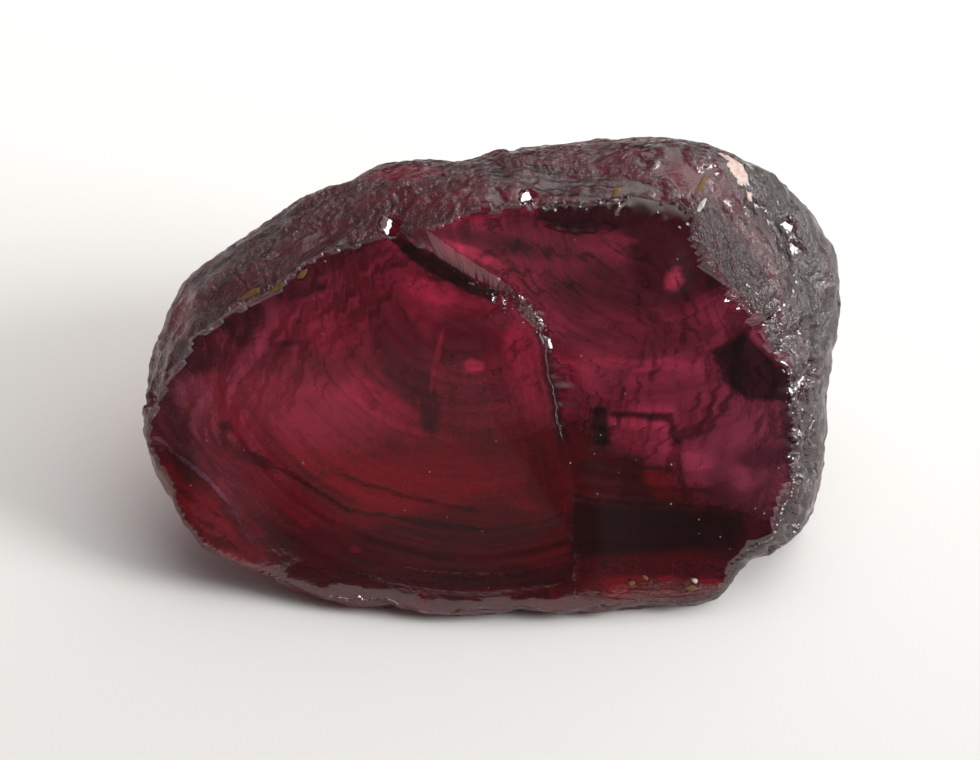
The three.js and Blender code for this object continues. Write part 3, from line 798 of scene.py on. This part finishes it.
crust("ochre_crust", (0.15, 0.07, 0.015), 0.7, [
    ((-6.99, 2.31, 2.41), (0.34, 0.09), 20), ((-6.18, 2.52, 2.64), (0.25, 0.08), 15),
    ((-5.47, 2.85, 2.77), (0.2, 0.07), 30), ((3.36, 5.19, 3.57), (0.2, 0.12), 60),
    ((5.7, 5.35, 3.2), (0.1, 0.3), 0), ((5.5, -6.0, 1.75), (0.14, 0.05), 0),
    ((3.8, -5.85, 1.95), (0.1, 0.04), 30), ((4.2, -5.7, 1.95), (0.07, 0.05), 0),
])
crust("pink_crust", (0.55, 0.4, 0.36), 0.5, [
    ((6.7, 5.85, 2.25), (0.75, 0.36), -18), ((7.3, 5.2, 2.1), (0.2, 0.12), -30),
])
crust("white_crust", (0.5, 0.47, 0.43), 0.35, [
    ((5.71, 4.77, 3.34), (0.09, 0.17), 0), ((7.1, 5.55, 2.0), (0.2, 0.08), -40),
    ((5.6, -5.8, 1.8), (0.07, 0.05), 0),
])

# ---------------------------------------------------------------------------------------
# Grains. Dull dust clings to the break, and pale glossy grains along the rims and ridges are painted
# highlights, standing in for their glints.
# Each is a tiny eight-sided grain sunk halfway into the stone.
# ---------------------------------------------------------------------------------------

DUST_GRAINS, DUST_SIZES = 80, (0.01, 0.028)
RIM_GRAINS, RIM_SIZES, RIM_SCATTER = 90, (0.02, 0.055), 0.14
RIM_SHARES = [(RIM, 0.35), (RIDGE, 0.45), (TOP_RIM, 0.1), (KNOBS, 0.1)]
LONGEST, SHORTEST = 1.4, 0.6            # how far a grain's second tip may reach, beside its first

rng = np.random.default_rng(5)


def grains(name, colour, roughness, places, sizes):
    """One mesh of small grains on the stone, out from its middle through the given places."""
    ways = places / np.linalg.norm(places, axis=1, keepdims=True)
    seats = ways * stone_radius(ways)[0][:, None]
    points, faces = [], []
    for seat, size in zip(seats, sizes):
        first = len(points)
        turn, _ = np.linalg.qr(rng.normal(size=(3, 3)))
        for axis in turn:
            points.extend([seat - axis * size, seat + axis * size * rng.uniform(SHORTEST, LONGEST)])
        flipped = np.linalg.det(turn) < 0
        for a, b, c in itertools.product((0, 1), (2, 3), (4, 5)):
            around = (a, b, c) if ((a + b + c) % 2 == 1) != flipped else (a, c, b)
            faces.append(tuple(first + corner for corner in around))
    grain_mesh = bpy.data.meshes.new(name)
    grain_mesh.from_pydata(stand(np.array(points)).tolist(), [], faces)
    piece = bpy.data.objects.new(name, grain_mesh)
    bpy.context.scene.collection.objects.link(piece)
    mineral = bpy.data.materials.new(name)
    mineral.use_nodes = True
    surface = mineral.node_tree.nodes["Principled BSDF"]
    surface.inputs["Base Color"].default_value = (*colour, 1)
    surface.inputs["Roughness"].default_value = roughness
    grain_mesh.materials.append(mineral)
    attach(piece, "root")


def places_along(line, count):
    """Places scattered along a line and seated on the break."""
    stops = np.linspace(0, 1, len(line))
    spots = []
    for t in rng.uniform(0, 1, count):
        u = np.interp(t, stops, [p[0] for p in line]) + rng.normal(0, RIM_SCATTER)
        v = np.interp(t, stops, [p[1] for p in line]) + rng.normal(0, RIM_SCATTER)
        spots.append((u, v))
    return np.column_stack([spots, face_height(*np.array(spots).T)])


dust_spots = np.stack([rng.uniform(-9, 8.4, DUST_GRAINS), rng.uniform(-6, 4.4, DUST_GRAINS)], 1)
dust_places = np.column_stack([dust_spots, face_height(*dust_spots.T)])
grains("dust", (0.55, 0.45, 0.4), 0.6, dust_places, rng.uniform(*DUST_SIZES, DUST_GRAINS))
# painted highlights: pale grains standing in for the glints along the rims and ridges
rim_places = np.concatenate([places_along(line, round(RIM_GRAINS * share)) for line, share in RIM_SHARES])
grains("rim_glint_grains", (0.5, 0.46, 0.46), 0.15, rim_places, rng.uniform(*RIM_SIZES, len(rim_places)))

# ---------------------------------------------------------------------------------------
# The floor. A plain sheet of pale, matt paper lies flat just under the stone.
# Its colour is painted a little darker in front of the stone than behind it, a painted shade for the light
# falling off towards the front.
# ---------------------------------------------------------------------------------------

FLOOR_HALF = 0.6
FLOOR_DROP = 0.02 * MM
# the paper's colour near and far: the darker near colour is painted shade
FLOOR_NEAR_SHADE, FLOOR_FAR, FLOOR_ROUGHNESS = (0.7, 0.7, 0.685, 1), (0.97, 0.965, 0.95, 1), 0.8
FADE_START, FADE_END = -16 * MM, 26 * MM

floor_mesh = bpy.data.meshes.new("floor")
floor_mesh.from_pydata([(x * FLOOR_HALF, y * FLOOR_HALF, -FLOOR_DROP) for x, y in
                        ((-1, -1), (1, -1), (1, 1), (-1, 1))], [], [(0, 1, 2, 3)])
floor = bpy.data.objects.new("floor", floor_mesh)
bpy.context.scene.collection.objects.link(floor)
paper = bpy.data.materials.new("pale_floor")
paper.use_nodes = True
paper_nodes, paper_links = paper.node_tree.nodes, paper.node_tree.links
where = paper_nodes.new("ShaderNodeSeparateXYZ")
paper_links.new(paper_nodes.new("ShaderNodeTexCoord").outputs["Object"], where.inputs[0])
shade = paper_nodes.new("ShaderNodeMapRange")
paper_links.new(where.outputs["Y"], shade.inputs["Value"])
shade.inputs["From Min"].default_value = FADE_START
shade.inputs["From Max"].default_value = FADE_END
fade = paper_nodes.new("ShaderNodeMix")
fade.data_type = "RGBA"
fade.inputs["A"].default_value = FLOOR_NEAR_SHADE
fade.inputs["B"].default_value = FLOOR_FAR
paper_links.new(shade.outputs[0], fade.inputs["Factor"])
paper_links.new(fade.outputs["Result"], paper_nodes["Principled BSDF"].inputs["Base Color"])
paper_nodes["Principled BSDF"].inputs["Roughness"].default_value = FLOOR_ROUGHNESS
floor_mesh.materials.append(paper)

# ---------------------------------------------------------------------------------------
# Light. A soft sky is bright above, behind and to the right, and dim in front, with two faint
# patches of its own low in front and high at the back. One round lamp on the right gives glints.
# ---------------------------------------------------------------------------------------

KEY_WAY, KEY_DISTANCE, KEY_WIDTH, KEY_POWER = Vector((0.85, -0.24, 0.5)).normalized(), 0.23, 0.1, 0.42
# a patch's spread is the cosine off its middle where it begins, and where it is brightest
SKY_WAY, SKY_SPREAD, SKY_DIM, SKY_BRIGHT = (0.52, 0.29, 0.8), (0.44, 0.97), 0.08, 1.9
GLOW_WAY, GLOW_SPREAD, GLOW = (-0.15, -0.92, 0.36), (0.9, 1.0), 0.1
BACK_WAY, BACK_SPREAD, BACK = (-0.5, 0.62, 0.6), (0.8, 1.0), 0.28
SKY_COLOUR = (1, 0.97, 0.945, 1)
BACKDROP = 0.9                      # the sky's strength where the camera sees it

world = bpy.data.worlds.new("studio")
bpy.context.scene.world = world
world.use_nodes = True
sky, wires = world.node_tree.nodes, world.node_tree.links
backdrop = sky["Background"]
backdrop.inputs["Color"].default_value = SKY_COLOUR
sky_place = sky.new("ShaderNodeTexCoord").outputs["Generated"]


def sky_patch(way, spread, low, high):
    """Brightness that rises smoothly towards one direction."""
    dot = sky.new("ShaderNodeVectorMath")
    dot.operation = "DOT_PRODUCT"
    dot.inputs[1].default_value = way
    wires.new(sky_place, dot.inputs[0])
    ramp = sky.new("ShaderNodeMapRange")
    ramp.interpolation_type = "SMOOTHSTEP"
    wires.new(dot.outputs["Value"], ramp.inputs["Value"])
    for socket, limit in zip(("From Min", "From Max", "To Min", "To Max"), (*spread, low, high)):
        ramp.inputs[socket].default_value = limit
    return ramp.outputs[0]


brightness = sky_patch(SKY_WAY, SKY_SPREAD, SKY_DIM, SKY_BRIGHT)
for patch in (sky_patch(GLOW_WAY, GLOW_SPREAD, 0, GLOW), sky_patch(BACK_WAY, BACK_SPREAD, 0, BACK)):
    both = sky.new("ShaderNodeMath")
    both.operation = "ADD"
    wires.new(brightness, both.inputs[0])
    wires.new(patch, both.inputs[1])
    brightness = both.outputs[0]
seen = sky.new("ShaderNodeMix")
wires.new(sky.new("ShaderNodeLightPath").outputs["Is Camera Ray"], seen.inputs["Factor"])
wires.new(brightness, seen.inputs["A"])
seen.inputs["B"].default_value = BACKDROP
wires.new(seen.outputs["Result"], backdrop.inputs["Strength"])

key_data = bpy.data.lights.new("key", "AREA")
key_data.shape = "DISK"
key_data.size = KEY_WIDTH
key_data.energy = KEY_POWER
key = bpy.data.objects.new("key", key_data)
bpy.context.scene.collection.objects.link(key)
key.location = KEY_WAY * KEY_DISTANCE
key.rotation_euler = KEY_WAY.to_track_quat("Z", "Y").to_euler()

# ---------------------------------------------------------------------------------------
# The camera. It looks down on the broken face, square to it and close by, and sees the whole
# stone with some of the floor all round it.
# ---------------------------------------------------------------------------------------

CAMERA_DISTANCE = 110 * MM
CAMERA_AIM = (-0.2, -0.115, 0.0)    # in the face's frame
CAMERA_NEAR = 5 * MM
VIEW_WIDTH = 28.2 * MM
SENSOR = 36.0

camera_data = bpy.data.cameras.new("camera")
camera_data.sensor_width = SENSOR
camera_data.lens = SENSOR * CAMERA_DISTANCE / VIEW_WIDTH
camera_data.clip_start = CAMERA_NEAR
camera = bpy.data.objects.new("camera", camera_data)
bpy.context.scene.collection.objects.link(camera)
aim = Vector(stand(np.array([CAMERA_AIM]))[0])
out = Vector((0, -math.cos(FACE_LEAN), math.sin(FACE_LEAN)))
camera.location = aim + out * CAMERA_DISTANCE
camera.rotation_euler = out.to_track_quat("Z", "Y").to_euler()
bpy.context.scene.camera = camera
bpy.context.scene.view_settings.view_transform = "Standard"
